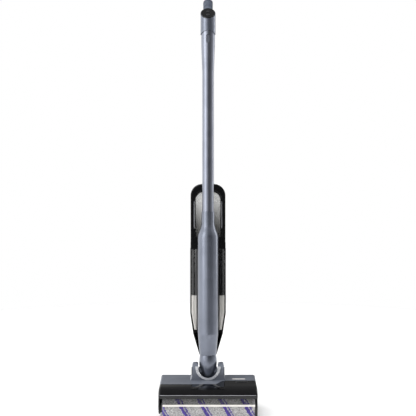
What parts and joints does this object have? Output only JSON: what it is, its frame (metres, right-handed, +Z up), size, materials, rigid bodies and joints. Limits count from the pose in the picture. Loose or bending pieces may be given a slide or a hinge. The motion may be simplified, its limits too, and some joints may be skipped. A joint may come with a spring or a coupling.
{
  "type": "wet dry floor scrubber",
  "caption": "Upright cordless wet and dry floor scrubber: fleece roller head, reclining neck, slim body with clean and dirty water tanks, straight pole with angled grip.",
  "frame": {"origin": "on the floor under the middle of the whole machine's box", "axes": "+Z up, -Y towards the front of the floor head, +X to the right seen from the front"},
  "size_m": [0.265, 0.3237, 1.1656],
  "materials": {
    "slate_shell": "satin metallic paint",
    "slate_tube": "satin metallic paint",
    "black_gloss": "piano gloss",
    "black_satin": "fine texture",
    "clear_plastic": "clear",
    "smoked_plastic": "smoked, clear",
    "white_plastic": "satin",
    "bright_trim": "satin chrome",
    "purple_plastic": "satin",
    "grip_rubber": "soft texture",
    "grip_tip": "satin",
    "wheel_tyre": "soft",
    "fleece": "microfibre pile",
    "filter_cloth": "pleated cloth",
    "steel": "turned",
    "cell_case": "shrink sleeve",
    "board_green": "solder mask",
    "contact_brass": "plated"
  },
  "bodies": {
    "head": {"head_chassis": "black_satin", "head_cover": "slate_shell", "yoke_trim": "bright_trim", "pivot_caps": "black_gloss", "suction_duct": "black_satin", "squeegee_blade": "grip_rubber", "roller_scraper": "black_satin", "spray_bar": "black_satin", "brush_motor": "steel", "drive_belt": "grip_rubber", "badge": "bright_trim", "head_screws": "steel", "charging_contacts": "contact_brass", "wheel_axles": "steel"},
    "cover": {"front_cover": "black_gloss", "cover_window": "clear_plastic", "cover_strip": "white_plastic"},
    "cover_latch": {"cover_latch": "black_gloss"},
    "cartridge": {"roller_cap": "black_satin", "roller_tab": "purple_plastic"},
    "roller": {"roller_core": "white_plastic", "roller_fleece": "fleece", "roller_bearing": "steel"},
    "drive_hub": {"drive_hub": "steel"},
    "motor_pulley": {"motor_pulley": "steel"},
    "rear_wheel_left": {"rear_wheel_left": "wheel_tyre"},
    "rear_wheel_right": {"rear_wheel_right": "wheel_tyre"},
    "neck": {"neck": "slate_shell", "pivot_pins": "steel", "suction_hose": "grip_rubber"},
    "body": {"spine_shell": "slate_shell", "lower_cone": "black_satin", "back_frame": "black_satin", "riser_duct": "black_satin", "battery_cells": "cell_case", "battery_holder": "black_satin", "suction_motor": "steel", "water_pump": "black_satin", "circuit_board": "board_green", "pole": "slate_tube"},
    "impeller": {"impeller": "steel"},
    "release_button": {"release_button": "slate_tube"},
    "clean_tank": {"clean_tank": "clear_plastic", "clean_tank_rim": "black_gloss"},
    "filler_cap": {"filler_cap": "black_satin"},
    "dirty_tank": {"dirty_tank": "smoked_plastic", "dirty_tank_lid": "black_satin", "inlet_pipe": "black_satin", "float_stop": "black_satin", "strainer": "black_satin", "separator_funnel": "black_satin", "filter": "filter_cloth"},
    "tank_latch": {"tank_latch": "black_satin"},
    "float": {"float": "white_plastic"},
    "handle": {"handle_shell": "slate_shell", "console": "black_gloss", "grip_sleeve": "grip_rubber", "grip_cap": "grip_tip"},
    "power_button": {"power_button": "black_satin"},
    "mode_button": {"mode_button": "black_satin"}
  },
  "joints": [
    {"name": "cover_lift", "type": "slide", "parent": "head", "child": "cover", "axis": [0, 0, 1], "range_m": [0, 0.05]},
    {"name": "cover_latch_press", "type": "slide", "parent": "cover", "child": "cover_latch", "axis": [0, 0, -1], "range_m": [0, 0.0025], "stiffness_N_per_m": 300, "springref_m": -0.002},
    {"name": "cartridge_slide", "type": "slide", "parent": "head", "child": "cartridge", "axis": [1, 0, 0], "range_m": [0, 0.27]},
    {"name": "roller_spin", "type": "hinge", "parent": "cartridge", "child": "roller", "pos_m": [0, -0.12185, 0.034], "axis": [1, 0, 0], "continuous": true},
    {"name": "hub_spin", "type": "hinge", "parent": "head", "child": "drive_hub", "pos_m": [0, -0.12185, 0.034], "axis": [1, 0, 0], "continuous": true},
    {"name": "motor_pulley_spin", "type": "hinge", "parent": "head", "child": "motor_pulley", "pos_m": [0, -0.04585, 0.034], "axis": [1, 0, 0], "continuous": true},
    {"name": "rear_wheel_left_spin", "type": "hinge", "parent": "head", "child": "rear_wheel_left", "pos_m": [-0.1055, 0.00115, 0.015], "axis": [1, 0, 0], "continuous": true},
    {"name": "rear_wheel_right_spin", "type": "hinge", "parent": "head", "child": "rear_wheel_right", "pos_m": [0.1055, 0.00115, 0.015], "axis": [1, 0, 0], "continuous": true},
    {"name": "recline", "type": "hinge", "parent": "head", "child": "neck", "pos_m": [0, -0.03185, 0.11], "axis": [-1, 0, 0], "range_deg": [0, 70]},
    {"name": "steer", "type": "hinge", "parent": "neck", "child": "body", "pos_m": [0, -0.02871, 0.15489], "axis": [0, 0.0698, 0.9976], "range_deg": [-40, 40]},
    {"name": "impeller_spin", "type": "hinge", "parent": "body", "child": "impeller", "pos_m": [0, -0.02903, 0.22208], "axis": [0, 0.0698, 0.9976], "continuous": true},
    {"name": "release_button_press", "type": "slide", "parent": "body", "child": "release_button", "axis": [0, 0.9976, -0.0698], "range_m": [0, 0.003], "stiffness_N_per_m": 300, "springref_m": -0.002},
    {"name": "clean_tank_lift", "type": "slide", "parent": "body", "child": "clean_tank", "axis": [0, 0.0698, 0.9976], "range_m": [0, 0.18]},
    {"name": "filler_cap_open", "type": "hinge", "parent": "clean_tank", "child": "filler_cap", "pos_m": [0, 0.08305, 0.62354], "axis": [-1, 0, 0], "range_deg": [0, 100]},
    {"name": "dirty_tank_slide", "type": "slide", "parent": "body", "child": "dirty_tank", "axis": [0, 0.9976, -0.0698], "range_m": [0, 0.12]},
    {"name": "tank_latch_press", "type": "slide", "parent": "dirty_tank", "child": "tank_latch", "axis": [0, -0.9976, 0.0698], "range_m": [0, 0.003], "stiffness_N_per_m": 300, "springref_m": -0.002},
    {"name": "float_rise", "type": "slide", "parent": "dirty_tank", "child": "float", "axis": [0, 0.0698, 0.9976], "range_m": [0, 0.045]},
    {"name": "handle_lift", "type": "slide", "parent": "body", "child": "handle", "axis": [0, 0.0698, 0.9976], "range_m": [0, 0.05]},
    {"name": "power_button_press", "type": "slide", "parent": "handle", "child": "power_button", "axis": [0, 0.6157, -0.788], "range_m": [0, 0.001], "stiffness_N_per_m": 500, "springref_m": -0.001},
    {"name": "mode_button_press", "type": "slide", "parent": "handle", "child": "mode_button", "axis": [0, 0.6157, -0.788], "range_m": [0, 0.001], "stiffness_N_per_m": 500, "springref_m": -0.001}
  ],
  "couplings": [
    {"joint": "hub_spin", "follows": "roller_spin", "ratio": 1},
    {"joint": "motor_pulley_spin", "follows": "roller_spin", "ratio": 2.3333}
  ]
}
